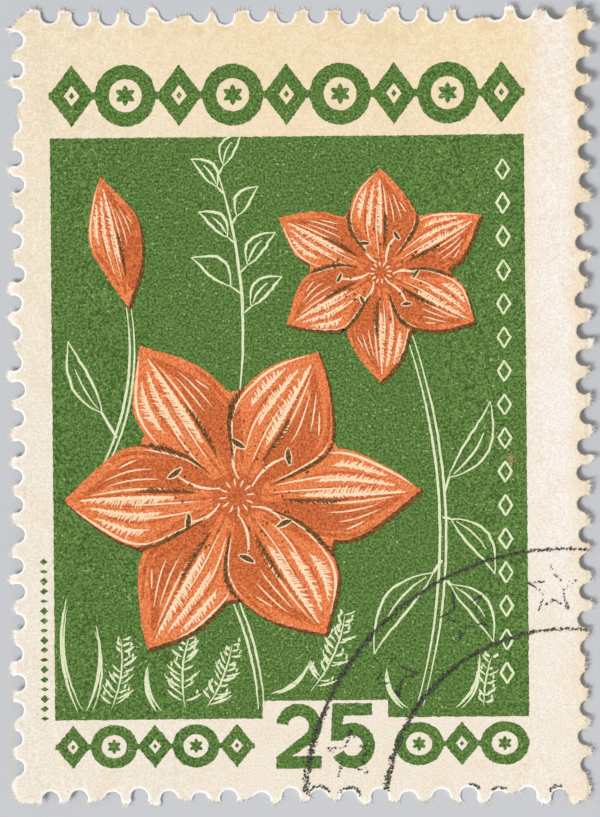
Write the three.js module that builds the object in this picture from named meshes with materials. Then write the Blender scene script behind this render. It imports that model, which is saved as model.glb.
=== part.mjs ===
// A used postage stamp: one perforated sheet of paper, the ink that lies on it in layers, and the two
// rings of a postmark. Millimetres, with +X to the stamp's right, +Y to its head and +Z out of its
// printed face. The sheet rests on a flat strip under its middle, and both sides curl gently up.
import * as THREE from "three";
import { mergeVertices } from "three/addons/utils/BufferGeometryUtils.js";

// Sheet
const SHEET = { width: 27.7, height: 38.1, thickness: 0.1 }; // width and height between the lines of holes
const ACROSS = { count: 18, pitch: 1.45, radius: 0.42, shift: 0.15 }; // holes of head and foot, moved right
const DOWN = { count: 26, pitch: 1.415, radius: 0.39, shift: 0.17 }; // holes of the sides, moved to the head
const HOLE_STEPS = 7; // straight pieces round a hole
const PIN_WANDER = 0.12; // how far a hole may sit off its place
const TEAR = 0.2; // how far a torn tooth reaches past the line of holes
const SHORT_TEAR = -0.25; // a tooth that was torn off inside the line
const CORNER_CLIP = 0.5;

// Curl
const CURL_TURN = THREE.MathUtils.degToRad(8); // turns the curl from the stamp's width to its height
const FLAT_HALF = 4.5; // half the width of the strip that lies flat
const FACET = 4; // width of each facet beyond it
const FACETS = 3; // on each side
const CURL_RISE = 0.0031; // height gained per square of the distance from the flat strip

// Ink
const INK = 0.01; // thickness of a layer
const INK_GAP = 0.002; // under each layer
const REGISTER = 0.07; // bare paper between two colours
const WELD = 0.001; // points closer than this are one

// Printed panel. The drawing's own x runs from the panel's middle and its y from the panel's lower edge.
// All the ink is turned a little against the holes, about the sheet's middle.
const PANEL = { width: 23.0, height: 28.25, middle: -0.55, lowerEdge: -15.14, turn: 0.3 };
const TABLET = { x: 1.6, width: 6.1, height: 0.85 }; // notch for the value
const MARKS = { x: 10.45, first: 2.1, pitch: 1.63, count: 16, halfWidth: 0.31, halfHeight: 0.5 };

// Borders of lozenges (L) and rings (R), and the value between the lower two
const BORDERS = [
  { name: "upper_border", from: -11.55, to: 11.55, y: 28.8, height: 3, motifs: "LRLRLRLRL" },
  { name: "lower_border_left", from: -11.5, to: -1.85, y: -2.35, height: 2.1, motifs: "LRLRL" },
  { name: "lower_border_right", from: 4.95, to: 11.5, y: -2.35, height: 2.1, motifs: "RLR" },
];
const BAR = 0.06; // half the thickness where two motifs meet, as a share of the height
const VALUE = { y: -2.45, height: 3.15, width: 2.2, line: 0.6, gap: 0.4 };

// Postmark, in the drawing's coordinates, with its angles in degrees
const POSTMARK = {
  x: 13.25,
  y: -4.6,
  line: 0.28,
  rings: [
    { name: "postmark_outer_ring", radius: 12.7, from: 87.5, to: 174 },
    { name: "postmark_inner_ring", radius: 8.8, from: 86.5, to: 171.5 },
  ],
};

// Flowers, with their turn in degrees. squash flattens a flower that is seen a little from below.
const FLOWERS = [
  { name: "large_bloom", x: -2.6, y: 10.8, petal: 9, half: 2.36, petals: 6, turn: -3, squash: 0.95 },
  { name: "small_bloom", x: 4.5, y: 21.6, petal: 5.7, half: 1.5, petals: 6, turn: 26, squash: 0.95 },
  { name: "bud", x: -7.7, y: 19.9, petal: 6.6, half: 1.3, petals: 1, turn: 98, squash: 1 },
];
const INNER_PETAL = { length: 0.93, half: 1.1 }; // every other petal, against the outer ones
const BEND = 0.07; // sideways bend of a petal's tip, as a share of its length
const VALLEY = 0.54; // how far out two petals part, as a share of an outer petal's length

// Patches of a petal: from t0 to t1 along it, about s across it (-1 to 1) and width wide
const HIGHLIGHTS = [
  { t0: 0.34, t1: 0.9, s: 0.04, width: 0.1 },
  { t0: 0.42, t1: 0.84, s: 0.36, width: 0.08 },
  { t0: 0.5, t1: 0.8, s: 0.66, width: 0.09 },
];
const SHADE = { root: 0.13, reach: 0.76, low: -0.82, high: -0.2 };

// Bare lines in the green: where they start and end, how far they bow sideways, and how wide they are
const BARE_LINES = [
  { from: [5.4, 15.5], to: [6.2, 0.6], bow: 1.6, width: 0.34 }, // stem
  { from: [-7.7, 19.5], to: [-9.5, 14.6], bow: 0.3, width: 0.3 }, // stem of the bud
  { from: [7.3, 12.8], to: [9.8, 15.6], bow: -0.6, width: 0.5 }, // leaves
  { from: [7.9, 10.0], to: [9.9, 7.5], bow: 0.6, width: 0.5 },
  { from: [7.8, 5.9], to: [9.8, 3.9], bow: 0.6, width: 0.46 },
  { from: [6.9, 6.4], to: [4.0, 3.2], bow: -0.7, width: 0.5 },
  { from: [-3.8, 22.6], to: [-2.8, 27.2], bow: 0.9, width: 0.42 },
  { from: [-4.1, 21.8], to: [-1.8, 20.2], bow: -0.5, width: 0.4 },
  { from: [-10.3, 0.6], to: [-10.9, 5.6], bow: 0.5, width: 0.2 }, // grass
  { from: [-9.5, 0.6], to: [-8.4, 3.2], bow: -0.4, width: 0.2 },
  { from: [7.9, 0.6], to: [9.0, 2.9], bow: -0.4, width: 0.2 },
  { from: [-1.6, 1.4], to: [-3.4, 1.9], bow: -0.2, width: 0.2 },
];

// Seeded random draws, so the torn edge is the same every time.
function randomFrom(seed) {
  let state = seed;
  return () => {
    state = (state * 1664525 + 1013904223) % 4294967296;
    return state / 4294967296;
  };
}

const { degToRad, lerp } = THREE.MathUtils;
const point = (x, y) => new THREE.Vector2(x, y);
const unit = (angle) => point(Math.cos(angle), Math.sin(angle));

// ---------------------------------------------------------------- drawn shapes

// A place function turns t, from 0 to 1 along a shape, and s, from -1 to 1 across it, into a point.
function petalPlace(flower, index, grow = 0) {
  const angle = degToRad(flower.turn + (360 / flower.petals) * index);
  const inner = index % 2 === 1;
  const length = flower.petal * (inner ? INNER_PETAL.length : 1) + grow;
  const half = flower.half * (inner ? INNER_PETAL.half : 1) + grow;
  return (t, s) => {
    const across = s * half * Math.sin(Math.PI * t ** 1.1) + BEND * length * t ** 2;
    const spot = unit(angle).multiplyScalar(length * t);
    spot.addScaledVector(unit(angle + Math.PI / 2), across);
    return point(flower.x + spot.x, flower.y + spot.y * flower.squash);
  };
}

function linePlace({ from, to, bow, width }) {
  const start = point(...from);
  const run = point(...to).sub(start);
  const side = point(-run.y, run.x).normalize();
  return (t, s) =>
    start.clone().addScaledVector(run, t).addScaledVector(side, 4 * bow * t * (1 - t) + (s * width) / 2);
}

// The outline of a patch that tapers to a point at both ends.
function patch(place, { t0 = 0, t1 = 1, s = 0, width = 1 } = {}, steps = 6) {
  const rim = (i, sign) => {
    const share = i / steps;
    return place(lerp(t0, t1, share), s + sign * width * Math.sin(Math.PI * share) ** 0.8);
  };
  const outline = [];
  for (let i = 0; i <= steps; i++) outline.push(rim(i, -1));
  for (let i = steps - 1; i > 0; i--) outline.push(rim(i, 1));
  return outline;
}

// The outline round a flower: out along each petal at s = low, round its end and back at s = high.
function roundFlower(flower, { root, reach = 1, low = -1, high = 1, grow = 0 }, steps = 9) {
  const outline = [];
  for (let index = 0; index < flower.petals; index++) {
    const place = petalPlace(flower, index, grow);
    const start = index % 2 ? root / INNER_PETAL.length : root;
    const rim = (i, sign) => {
      const share = i / steps;
      const spread = reach < 1 ? Math.sqrt(1 - share ** 2) : 1;
      const s = (low + high) / 2 + (sign * spread * (high - low)) / 2;
      return place(lerp(start, reach, share), s);
    };
    for (let i = 0; i <= steps; i++) outline.push(rim(i, -1));
    for (let i = steps - 1; i >= 0; i--) outline.push(rim(i, 1));
  }
  if (flower.petals === 1) outline.pop();
  return outline;
}

const silhouette = (flower, grow) =>
  roundFlower(flower, { root: flower.petals > 1 ? VALLEY : 0, grow });

const lozenge = (x, y, a, b) => [point(x - a, y), point(x, y - b), point(x + a, y), point(x, y + b)];

function ellipse(x, y, a, b, steps = 14) {
  return Array.from({ length: steps }, (_, i) => {
    const spot = unit((2 * Math.PI * i) / steps);
    return point(x + a * spot.x, y + b * spot.y);
  });
}

function shapeOf(outline, holes = []) {
  const shape = new THREE.Shape(outline);
  shape.holes = holes.map((hole) => new THREE.Path(hole));
  return shape;
}

// ---------------------------------------------------------------- curl

const creases = [];
for (let i = 0; i < FACETS; i++) {
  creases.push(FLAT_HALF + FACET * i);
  creases.unshift(-FLAT_HALF - FACET * i);
}

const rise = (distance) => CURL_RISE * (distance - FLAT_HALF) ** 2;
const acrossCurl = ({ x, y }) => x * Math.cos(CURL_TURN) + y * Math.sin(CURL_TURN);

// The height of the sheet's underside, in facets that are straight between two creases.
function curlHeight(spot) {
  const distance = Math.abs(acrossCurl(spot));
  if (distance <= FLAT_HALF) return 0;
  const from = FLAT_HALF + FACET * Math.floor((distance - FLAT_HALF) / FACET);
  return THREE.MathUtils.mapLinear(distance, from, from + FACET, rise(from), rise(from + FACET));
}

// Cuts a triangle at a crease, into triangles that each lie on one side of it.
function cutAtCrease(corners, crease) {
  const heights = corners.map((corner) => {
    const height = acrossCurl(corner) - crease;
    return Math.abs(height) < WELD ? 0 : height;
  });
  if (Math.min(...heights) >= 0 || Math.max(...heights) <= 0) return [corners];
  const sides = [[], []];
  for (let i = 0; i < 3; i++) {
    const next = (i + 1) % 3;
    if (heights[i] >= 0) sides[0].push(corners[i]);
    if (heights[i] <= 0) sides[1].push(corners[i]);
    if (heights[i] * heights[next] < 0) {
      const between = corners[i].clone().lerp(corners[next], heights[i] / (heights[i] - heights[next]));
      sides[0].push(between);
      sides[1].push(between);
    }
  }
  return sides.flatMap((side) => side.slice(2).map((corner, i) => [side[0], side[i + 1], corner]));
}

// Makes a layer of a shape, from bottom to top, that follows the curl.
function curledLayer(name, look, shape, bottom, depth, curveSegments = 12) {
  const flat = new THREE.ExtrudeGeometry(shape, { depth, bevelEnabled: false, curveSegments });
  const corner = flat.translate(0, 0, bottom).attributes.position;
  let faces = [];
  for (let i = 0; i < corner.count; i += 3) {
    faces.push([0, 1, 2].map((k) => new THREE.Vector3().fromBufferAttribute(corner, i + k)));
  }
  for (const crease of creases) faces = faces.flatMap((corners) => cutAtCrease(corners, crease));
  const lifted = faces.flat().flatMap((spot) => [spot.x, spot.y, spot.z + curlHeight(spot)]);
  const geometry = new THREE.BufferGeometry();
  geometry.setAttribute("position", new THREE.Float32BufferAttribute(lifted, 3));
  const mesh = new THREE.Mesh(mergeVertices(geometry, WELD / 10), look);
  mesh.name = name;
  return mesh;
}

// A layer of ink over a shape of the drawing. Layer 0 lies on the paper.
function inkLayer(name, look, shape, layer = 0) {
  const onSheet = (path) => {
    const place = ({ x, y }) => point(x + PANEL.middle, y + PANEL.lowerEdge);
    const points = path.getPoints(12).map((spot) => place(spot).rotateAround(point(0, 0), degToRad(PANEL.turn)));
    return points[0].distanceTo(points.at(-1)) < WELD ? points.slice(0, -1) : points;
  };
  const placed = shapeOf(onSheet(shape), shape.holes.map(onSheet));
  const bottom = SHEET.thickness + INK_GAP + layer * (INK + INK_GAP);
  return curledLayer(name, look, placed, bottom, INK);
}

// ---------------------------------------------------------------- paper

// One side of the sheet from its first hole to its last, with half a hole and a torn tooth in turn.
function sideOutline({ corner, angle, length, holes, shift, shortTooth }, random) {
  const { count, pitch, radius } = holes;
  const along = unit(angle);
  const inward = unit(angle + Math.PI / 2);
  const margin = (length - pitch * (count - 1)) / 2 + shift;
  const reaches = Array.from({ length: count + 1 }, () => TEAR * (0.5 + 0.5 * random()));
  reaches[2] = TEAR;
  if (shortTooth) reaches[shortTooth] = SHORT_TEAR;
  const outline = [];
  for (let i = 0; i < count; i++) {
    const middle = margin + pitch * i + PIN_WANDER * (2 * random() - 1);
    const depth = PIN_WANDER * (2 * random() - 1);
    const from = Math.PI + Math.asin((reaches[i] + depth) / radius);
    const to = -Math.asin((reaches[i + 1] + depth) / radius);
    for (let k = 0; k <= HOLE_STEPS; k++) {
      const rim = unit(lerp(from, to, k / HOLE_STEPS)).multiplyScalar(radius);
      const spot = corner.clone().addScaledVector(along, middle + rim.x);
      outline.push(spot.addScaledVector(inward, depth + rim.y));
    }
  }
  return outline;
}

function sheetOutline() {
  const random = randomFrom(7);
  const [w, h] = [SHEET.width / 2, SHEET.height / 2];
  const across = { length: SHEET.width, holes: ACROSS };
  const down = { length: SHEET.height, holes: DOWN };
  const sides = [
    { corner: point(-w, -h), angle: 0, ...across, shift: ACROSS.shift, shortTooth: 16 },
    { corner: point(w, -h), angle: Math.PI / 2, ...down, shift: DOWN.shift },
    { corner: point(w, h), angle: Math.PI, ...across, shift: -ACROSS.shift, shortTooth: 3 },
    { corner: point(-w, h), angle: 1.5 * Math.PI, ...down, shift: -DOWN.shift },
  ];
  const outline = [];
  for (const side of sides) {
    const along = unit(side.angle);
    const inward = unit(side.angle + Math.PI / 2);
    const clip = CORNER_CLIP * (0.7 + 0.6 * random());
    outline.push(side.corner.clone().addScaledVector(inward, clip).addScaledVector(along, -0.7 * TEAR));
    outline.push(side.corner.clone().addScaledVector(along, clip).addScaledVector(inward, -0.7 * TEAR));
    outline.push(...sideOutline(side, random));
  }
  return outline;
}

function makePaper(look) {
  return curledLayer("paper_sheet", look, shapeOf(sheetOutline()), 0, SHEET.thickness);
}

// ---------------------------------------------------------------- flowers

function makePetals(flower, look) {
  const highlights = [];
  for (let index = 0; index < flower.petals; index++) {
    const place = petalPlace(flower, index);
    for (const each of HIGHLIGHTS) highlights.push(patch(place, each));
  }
  return inkLayer(flower.name + "_petals", look, shapeOf(silhouette(flower), highlights));
}

function makeShading(flower, look) {
  return inkLayer(flower.name + "_shading", look, shapeOf(roundFlower(flower, SHADE, 7)), 1);
}

// ---------------------------------------------------------------- panel, borders, value, postmark

function makePanel(look) {
  const half = PANEL.width / 2;
  const [left, right] = [TABLET.x - TABLET.width / 2, TABLET.x + TABLET.width / 2];
  const outline = [point(-half, 0), point(left, 0), point(left, TABLET.height), point(right, TABLET.height)];
  outline.push(point(right, 0), point(half, 0), point(half, PANEL.height), point(-half, PANEL.height));
  const gaps = FLOWERS.map((flower) => silhouette(flower, REGISTER));
  for (const line of BARE_LINES) gaps.push(patch(linePlace(line)));
  for (let i = 0; i < MARKS.count; i++) {
    gaps.push(lozenge(MARKS.x, MARKS.first + MARKS.pitch * i, MARKS.halfWidth, MARKS.halfHeight));
  }
  return inkLayer("green_panel", look, shapeOf(outline, gaps));
}

// How a motif fills its place in a border: its share of the width, its height at a distance of 0 to 1 from
// its middle, and its hole.
const MOTIFS = {
  L: { share: 0.75, height: (distance) => 1 - distance, hole: lozenge, open: 0.17 },
  R: { share: 1, height: (distance) => Math.sqrt(1 - distance ** 2), hole: ellipse, open: 0.27 },
};

// A chain of motifs whose outline never gets thinner than the bar between them.
function makeBorder({ name, from, to, y, height, motifs }, look) {
  const chain = [...motifs].map((letter) => MOTIFS[letter]);
  const total = chain.reduce((sum, motif) => sum + motif.share, 0);
  const middle = y + height / 2;
  const steps = 8;
  const upper = [];
  const holes = [];
  let cursor = from;
  for (const { share, height: heightAt, hole, open } of chain) {
    const width = (share * (to - from)) / total;
    for (let i = 0; i < steps; i++) {
      const distance = Math.abs((2 * i) / steps - 1);
      upper.push(point(cursor + (width * i) / steps, height * Math.max(BAR, heightAt(distance) / 2)));
    }
    holes.push(hole(cursor + width / 2, middle, open * width, open * height));
    cursor += width;
  }
  upper.push(point(to, height * BAR));
  const outline = upper.map((spot) => point(spot.x, middle - spot.y));
  outline.push(...upper.reverse().map((spot) => point(spot.x, middle + spot.y)));
  return inkLayer(name, look, shapeOf(outline, holes));
}

function makeTwo(look) {
  const { y, height, width, line, gap } = VALUE;
  const left = TABLET.x - gap / 2 - width;
  const middle = point(left + width / 2, y + height - width / 2);
  const [start, end] = [degToRad(-38), degToRad(172)];
  const two = new THREE.Shape();
  two.moveTo(left, y);
  two.lineTo(left + width, y);
  two.lineTo(left + width, y + line);
  two.lineTo(left + 1.25 * line, y + line);
  two.absarc(middle.x, middle.y, width / 2, start, end, false);
  two.absarc(middle.x, middle.y, width / 2 - line, end, start, true);
  two.lineTo(left, y + 0.9 * line);
  return inkLayer("numeral_2", look, two);
}

function makeFive(look) {
  const { y, height, width, line, gap } = VALUE;
  const left = TABLET.x + gap / 2;
  const top = y + height;
  const middle = point(left + width / 2, y + width / 2);
  const five = new THREE.Shape();
  five.moveTo(left + 0.94 * width, top - line);
  five.lineTo(left + 0.94 * width, top);
  five.lineTo(left + 0.25 * line, top);
  five.lineTo(left + 0.1 * line, y + 1.3);
  five.absarc(middle.x, middle.y, width / 2 - line, degToRad(150), degToRad(-150), true);
  five.absarc(middle.x, middle.y, width / 2, degToRad(-150), degToRad(115), false);
  five.lineTo(left + 1.15 * line, top - line);
  return inkLayer("numeral_5", look, five);
}

function makePostmarkRing({ name, radius, from, to }, look) {
  const { x, y, line } = POSTMARK;
  const band = new THREE.Shape();
  band.absarc(x, y, radius + line / 2, degToRad(from), degToRad(to), false);
  band.absarc(x, y, radius - line / 2, degToRad(to), degToRad(from), true);
  return inkLayer(name, look, band, 2);
}

// ---------------------------------------------------------------- assembly

const ink = (color, roughness) => new THREE.MeshStandardMaterial({ color, roughness, metalness: 0 });
const paper = new THREE.MeshStandardMaterial({ color: 0xf3e7d2, roughness: 0.85, metalness: 0 });
const green = ink(0x5a7b3e, 0.7);
const orange = ink(0xe4733e, 0.7);
const rust = ink(0xb9602f, 0.7);
const postmark = ink(0x45433f, 0.8);

const stamp = new THREE.Group();
stamp.name = "postage_stamp";
stamp.add(makePaper(paper));
stamp.add(makePanel(green));
for (const border of BORDERS) stamp.add(makeBorder(border, green));
stamp.add(makeTwo(green), makeFive(green));
for (const flower of FLOWERS) stamp.add(makePetals(flower, orange), makeShading(flower, rust));
for (const ring of POSTMARK.rings) stamp.add(makePostmarkRing(ring, postmark));

export default stamp;
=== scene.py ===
import math
from collections import namedtuple
from itertools import pairwise

import bpy
import numpy as np
from mathutils import Matrix, Vector
from mathutils.geometry import delaunay_2d_cdt


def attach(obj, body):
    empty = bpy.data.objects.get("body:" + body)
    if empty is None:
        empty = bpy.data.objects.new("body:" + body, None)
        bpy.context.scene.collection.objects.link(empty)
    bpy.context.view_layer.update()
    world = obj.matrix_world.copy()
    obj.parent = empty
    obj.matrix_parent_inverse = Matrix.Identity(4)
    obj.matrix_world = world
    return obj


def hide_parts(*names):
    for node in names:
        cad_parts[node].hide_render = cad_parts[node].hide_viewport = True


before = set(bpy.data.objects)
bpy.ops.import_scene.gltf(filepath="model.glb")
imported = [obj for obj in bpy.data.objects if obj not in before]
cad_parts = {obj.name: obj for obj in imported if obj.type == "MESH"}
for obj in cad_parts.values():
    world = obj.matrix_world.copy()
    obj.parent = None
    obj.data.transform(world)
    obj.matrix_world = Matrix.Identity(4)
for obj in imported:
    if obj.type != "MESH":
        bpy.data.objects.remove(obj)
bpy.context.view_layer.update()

# ---------------------------------------------------------------------------------------------------------
# The sheet. Cream wove paper, 0.1 mm thick, whose four sides were punched with rows of small round holes
# and then torn apart, so each tooth ends in a soft ragged tear. It has dried with a slight curl.
# Every length in the modelling below is in millimetres; a finished piece is scaled to metres.
SHEET_WIDTH, SHEET_HEIGHT, PAPER = 27.7, 38.1, 0.1
Row = namedtuple("Row", "holes pitch radius shift")
ACROSS = Row(18, 1.45, 0.42, 0.15)  # the holes of head and foot, a little to the right of the middle
DOWN = Row(26, 1.415, 0.39, 0.17)  # the holes of the two sides, a little nearer to the head
PIN_WANDER, PIN_RAG = 0.12, 0.012  # how far a pin may strike off its place, and its hole off a circle
TEAR, SHORT_TEAR, LOWEST_TEAR = 0.2, -0.25, -0.3  # how far a tooth reaches past the line of holes
SHORT_AT_FOOT, SHORT_AT_HEAD, FULL_TOOTH = 16, 3, 2  # which teeth tore short, and which reach all the way
CORNER_CLIP = 0.5
HOLE_STEPS, CIRCLE_POINTS = 18, 33  # along the rim of a hole, and on a circle round it
TEAR_STEP, TEAR_RAG = 0.035, 0.05  # spacing of the points of a torn edge, and how far they stray
SHOULDER, PEAK = 0.24, 0.22  # how far a tooth's corners are worn back, and how far its middle stands out
WIDEST_TOOTH, CORNER_PEAK = 0.8, 0.02  # a longer tear lies beside a corner, and is nearly straight
NECK = 0.06  # the tear starts to thin this far inside the line of holes
THIN_FROM, THIN_TO, THIN_RAG = 0.03, 0.15, 0.012  # the stretch past the neck in which a tear thins
WORN_UNDER, WORN_FACE = 0.3, 0.5  # the shares of the paper that a tear loses from below and above
ROUNDING, RIM_DROP, RIM_GLOW = 0.05, 0.035, 0.2  # the rim of a hole is pressed down, and painted pale round about, partly the paper's whiter core and partly a painted highlight
CURL_TURN, FLAT_HALF, CURL_RISE = math.radians(8), 4.5, 0.0031
CURL_STRIP = 1.0  # the curl is modelled in strips of this width
STRIPS_TO, STRIP_REACH = 17, 22  # the strips end past the sheet's corners, across it and along it
PAST_SIDE, PAST_HEAD = 15, 20  # places just past the sheet
SAME_POINT = 1e-5  # points nearer than this are one
SOFT_EDGE = math.radians(30)  # a flatter edge than this is shaded smooth
M_PER_MM = 0.001
RANDOM_FACTOR, RANDOM_STEP, RANDOM_RANGE = 1664525, 1013904223, 2**32


def draws(seed):
    """A seeded row of numbers from 0 to 1, the same in every run."""
    state = seed
    while True:
        state = (state * RANDOM_FACTOR + RANDOM_STEP) % RANDOM_RANGE
        yield state / RANDOM_RANGE


def either_way(chance):
    """A number from -1 to 1."""
    return 2 * next(chance) - 1


def heading_of(angle):
    return Vector((math.cos(angle), math.sin(angle)))


def left_of(heading):
    return Vector((-heading.y, heading.x))


def curl_height(x, y):
    across = np.abs(x * math.cos(CURL_TURN) + y * math.sin(CURL_TURN))
    return CURL_RISE * np.maximum(across - FLAT_HALF, 0) ** 2


def strip_lines():
    """The lines across the sheet at which a flat piece may bend."""
    axis = heading_of(CURL_TURN)
    reach = left_of(axis) * STRIP_REACH
    count = int(STRIPS_TO / CURL_STRIP)
    for i in range(-count, count + 1):
        if abs(i * CURL_STRIP) >= FLAT_HALF - CURL_STRIP:
            yield axis * i * CURL_STRIP - reach, axis * i * CURL_STRIP + reach


def counter_clockwise(outline):
    turned = zip(outline, outline[1:] + outline[:1])
    area = sum(a[0] * b[1] - b[0] * a[1] for a, b in turned)
    return outline if area > 0 else outline[::-1]


def new_piece(name, data):
    """Makes an object of a mesh or a curve, and selects it alone."""
    piece = bpy.data.objects.new(name, data)
    bpy.context.collection.objects.link(piece)
    bpy.ops.object.select_all(action="DESELECT")
    piece.select_set(True)
    bpy.context.view_layer.objects.active = piece
    return piece


def flat_piece(name, areas, gaps=(), within=(), lines=()):
    """A flat mesh of what lies in an area, in no gap and, if within is given, inside one of those."""
    points, edges, faces = [], [], []
    for outline in [*areas, *gaps, *within]:
        first = len(points)
        points += [Vector(spot) for spot in counter_clockwise(list(outline))]
        faces.append(list(range(first, len(points))))
    for start, end in [*strip_lines(), *lines]:
        edges.append((len(points), len(points) + 1))
        points += [Vector(start), Vector(end)]
    spots, _, cells, _, _, sources = delaunay_2d_cdt(points, edges, faces, 0, SAME_POINT)
    corners = [np.array([points[i] for i in face]) for face in faces]
    boxes = np.array([[each.min(0), each.max(0)] for each in corners])
    middles = [sum((spots[i] for i in cell), Vector((0, 0))) / len(cell) for cell in cells]

    def near(i, middle):
        low, high = boxes[i]
        return low[0] <= middle.x <= high[0] and low[1] <= middle.y <= high[1]

    # An outline that crosses itself can come back inside out, and is then turned round here.
    turned = {i for source, middle in zip(sources, middles) for i in source if not near(i, middle)}
    first_gap, first_within = len(areas), len(areas) + len(gaps)
    kept = []
    for cell, source, middle in zip(cells, sources, middles):
        holding = {i for i in source if i not in turned}
        holding |= {i for i in turned if i not in source and near(i, middle)}
        in_area = any(i < first_gap for i in holding)
        in_gap = any(first_gap <= i < first_within for i in holding)
        inside = not within or any(i >= first_within for i in holding)
        if in_area and not in_gap and inside:
            kept.append(cell)
    mesh = bpy.data.meshes.new(name)
    mesh.from_pydata([(*spot, 0) for spot in spots], [], kept)
    piece = new_piece(name, mesh)
    bpy.ops.object.mode_set(mode="EDIT")
    bpy.ops.mesh.select_all(action="SELECT")
    bpy.ops.mesh.delete_loose(use_verts=True, use_edges=True, use_faces=False)
    bpy.ops.object.mode_set(mode="OBJECT")
    return piece


def thicken_and_curl(piece, bottom, depth, shape=None):
    """Gives a flat piece its thickness, bends it to the sheet's curl and brings it to metres."""
    solid = piece.modifiers.new("thickness", "SOLIDIFY")
    solid.thickness = depth
    solid.offset = 1
    bpy.ops.object.modifier_apply(modifier=solid.name)
    spots = np.empty(len(piece.data.vertices) * 3)
    piece.data.vertices.foreach_get("co", spots)
    spots = spots.reshape(-1, 3)
    if shape:
        shape(spots)
    spots[:, 2] += bottom + curl_height(spots[:, 0], spots[:, 1])
    piece.data.vertices.foreach_set("co", (spots * M_PER_MM).ravel())
    piece.data.update()
    bpy.ops.object.shade_smooth_by_angle(angle=SOFT_EDGE)


def hand_over(piece, material, node=""):
    """Gives a piece its material, hangs it on the root and hides the part that it takes the place of."""
    piece.data.materials.append(material)
    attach(piece, "root")
    if node:
        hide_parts(node)


def torn_line(start, end, outward, chance):
    """The points of a torn edge: a worn peak between start and end, with a ragged rim."""
    start, end = Vector(start), Vector(end)
    width = (end - start).length
    count = max(3, round(width / TEAR_STEP))
    peak = PEAK * (0.5 + 0.8 * next(chance)) if width < WIDEST_TOOTH else CORNER_PEAK
    skew = 0.7 + 0.7 * next(chance)
    for i in range(1, count):
        share = i / count
        swell = peak * math.sin(math.pi * share**skew) ** 0.7
        stray = TEAR_RAG * (2.2 * next(chance) ** 2 - 0.7) * math.sin(math.pi * share) ** 0.4
        slip = 0.3 * TEAR_STEP * either_way(chance)
        spot = start.lerp(end, share) + outward * (swell + stray) + (end - start).normalized() * slip
        yield (spot.x, spot.y)


def side_of_sheet(corner, along, length, row, shift, short_tooth, chance, rag):
    """The rim of each hole of one side, from tear to tear, and the hole's middle."""
    inward = left_of(along)
    margin = (length - row.pitch * (row.holes - 1)) / 2 + shift
    reaches = [TEAR * (0.5 + 0.5 * next(chance)) for _ in range(row.holes + 1)]
    reaches[FULL_TOOTH] = TEAR
    if short_tooth:
        reaches[short_tooth] = SHORT_TEAR
    for i in range(row.holes):
        middle = margin + row.pitch * i + PIN_WANDER * either_way(chance)
        depth = PIN_WANDER * either_way(chance)
        worn = []
        for reach in reaches[i : i + 2]:
            worn.append(max(LOWEST_TEAR, reach - SHOULDER * 1.5 * next(rag) ** 1.5 + depth))
        start = math.pi + math.asin(worn[0] / row.radius)
        end = -math.asin(worn[1] / row.radius)
        rim = []
        for k in range(HOLE_STEPS + 1):
            turn = start + (end - start) * k / HOLE_STEPS
            radius = row.radius + PIN_RAG * either_way(rag)
            spot = corner + along * (middle + radius * math.cos(turn))
            spot += inward * (depth + radius * math.sin(turn))
            rim.append((spot.x, spot.y))
        yield rim, corner + along * middle + inward * depth


def sheet_outline():
    """The sheet's outline, its holes as (x, y, radius), and its torn edges with the way each faces."""
    chance, rag = draws(7), draws(31)
    w, h = SHEET_WIDTH / 2, SHEET_HEIGHT / 2
    sides = [
        ((-w, -h), 0, SHEET_WIDTH, ACROSS, ACROSS.shift, SHORT_AT_FOOT),
        ((w, -h), 0.5, SHEET_HEIGHT, DOWN, DOWN.shift, 0),
        ((w, h), 1, SHEET_WIDTH, ACROSS, -ACROSS.shift, SHORT_AT_HEAD),
        ((-w, h), 1.5, SHEET_HEIGHT, DOWN, -DOWN.shift, 0),
    ]
    rims, holes = [], []
    for corner, half_turns, length, row, shift, short_tooth in sides:
        along = heading_of(half_turns * math.pi)
        inward = left_of(along)
        corner = Vector(corner)
        clip = CORNER_CLIP * (0.7 + 0.6 * next(chance))
        first = corner + inward * clip - along * 0.7 * TEAR
        second = corner + along * clip - inward * 0.7 * TEAR
        rims.append(([tuple(first)], -along))
        rims.append(([tuple(second)], (-along - inward).normalized()))
        for rim, centre in side_of_sheet(corner, along, length, row, shift, short_tooth, chance, rag):
            rims.append((rim, -inward))
            holes.append((*centre, row.radius))
    outline, tears = [], []
    for (rim, _), (following, outward) in pairwise([*rims, rims[0]]):
        tear = list(torn_line(rim[-1], following[0], outward, rag))
        tears.append((tear, outward))
        outline += rim + tear
    return outline, holes, tears


def rim_distance(spots):
    """How far each point lies from the rim of the nearest hole."""
    holes = np.array(sheet_holes)
    away = spots[:, None, :2] - holes[None, :, :2]
    return (np.sqrt((away**2).sum(2)) - holes[:, 2]).min(1)


def wear_the_edges(spots):
    """Presses the rims of the holes down, and thins each tooth past its neck, where it is torn."""
    thinning = draws(5)
    drop = RIM_DROP * np.clip(1 - rim_distance(spots) / ROUNDING, 0, 1)
    spots[:, 2] -= np.where(spots[:, 2] > PAPER / 2, drop, 0)
    for spot in spots:
        past = max(abs(spot[0]) - SHEET_WIDTH / 2, abs(spot[1]) - SHEET_HEIGHT / 2) + NECK
        if past > THIN_FROM:
            share = min(1, past / THIN_TO)
            worn = [WORN_UNDER * PAPER * share, PAPER * (1 - WORN_FACE * share)]
            spot[2] = np.interp(spot[2], [0, PAPER], worn)
            spot[2] += THIN_RAG * either_way(thinning)


def srgb(red, green, blue):
    """A colour given as 0 to 255 per channel, as the linear values that a shader takes."""
    channels = [value / 255 for value in (red, green, blue)]
    linear = [c / 12.92 if c <= 0.04045 else ((c + 0.055) / 1.055) ** 2.4 for c in channels]
    return (*linear, 1)


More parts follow.
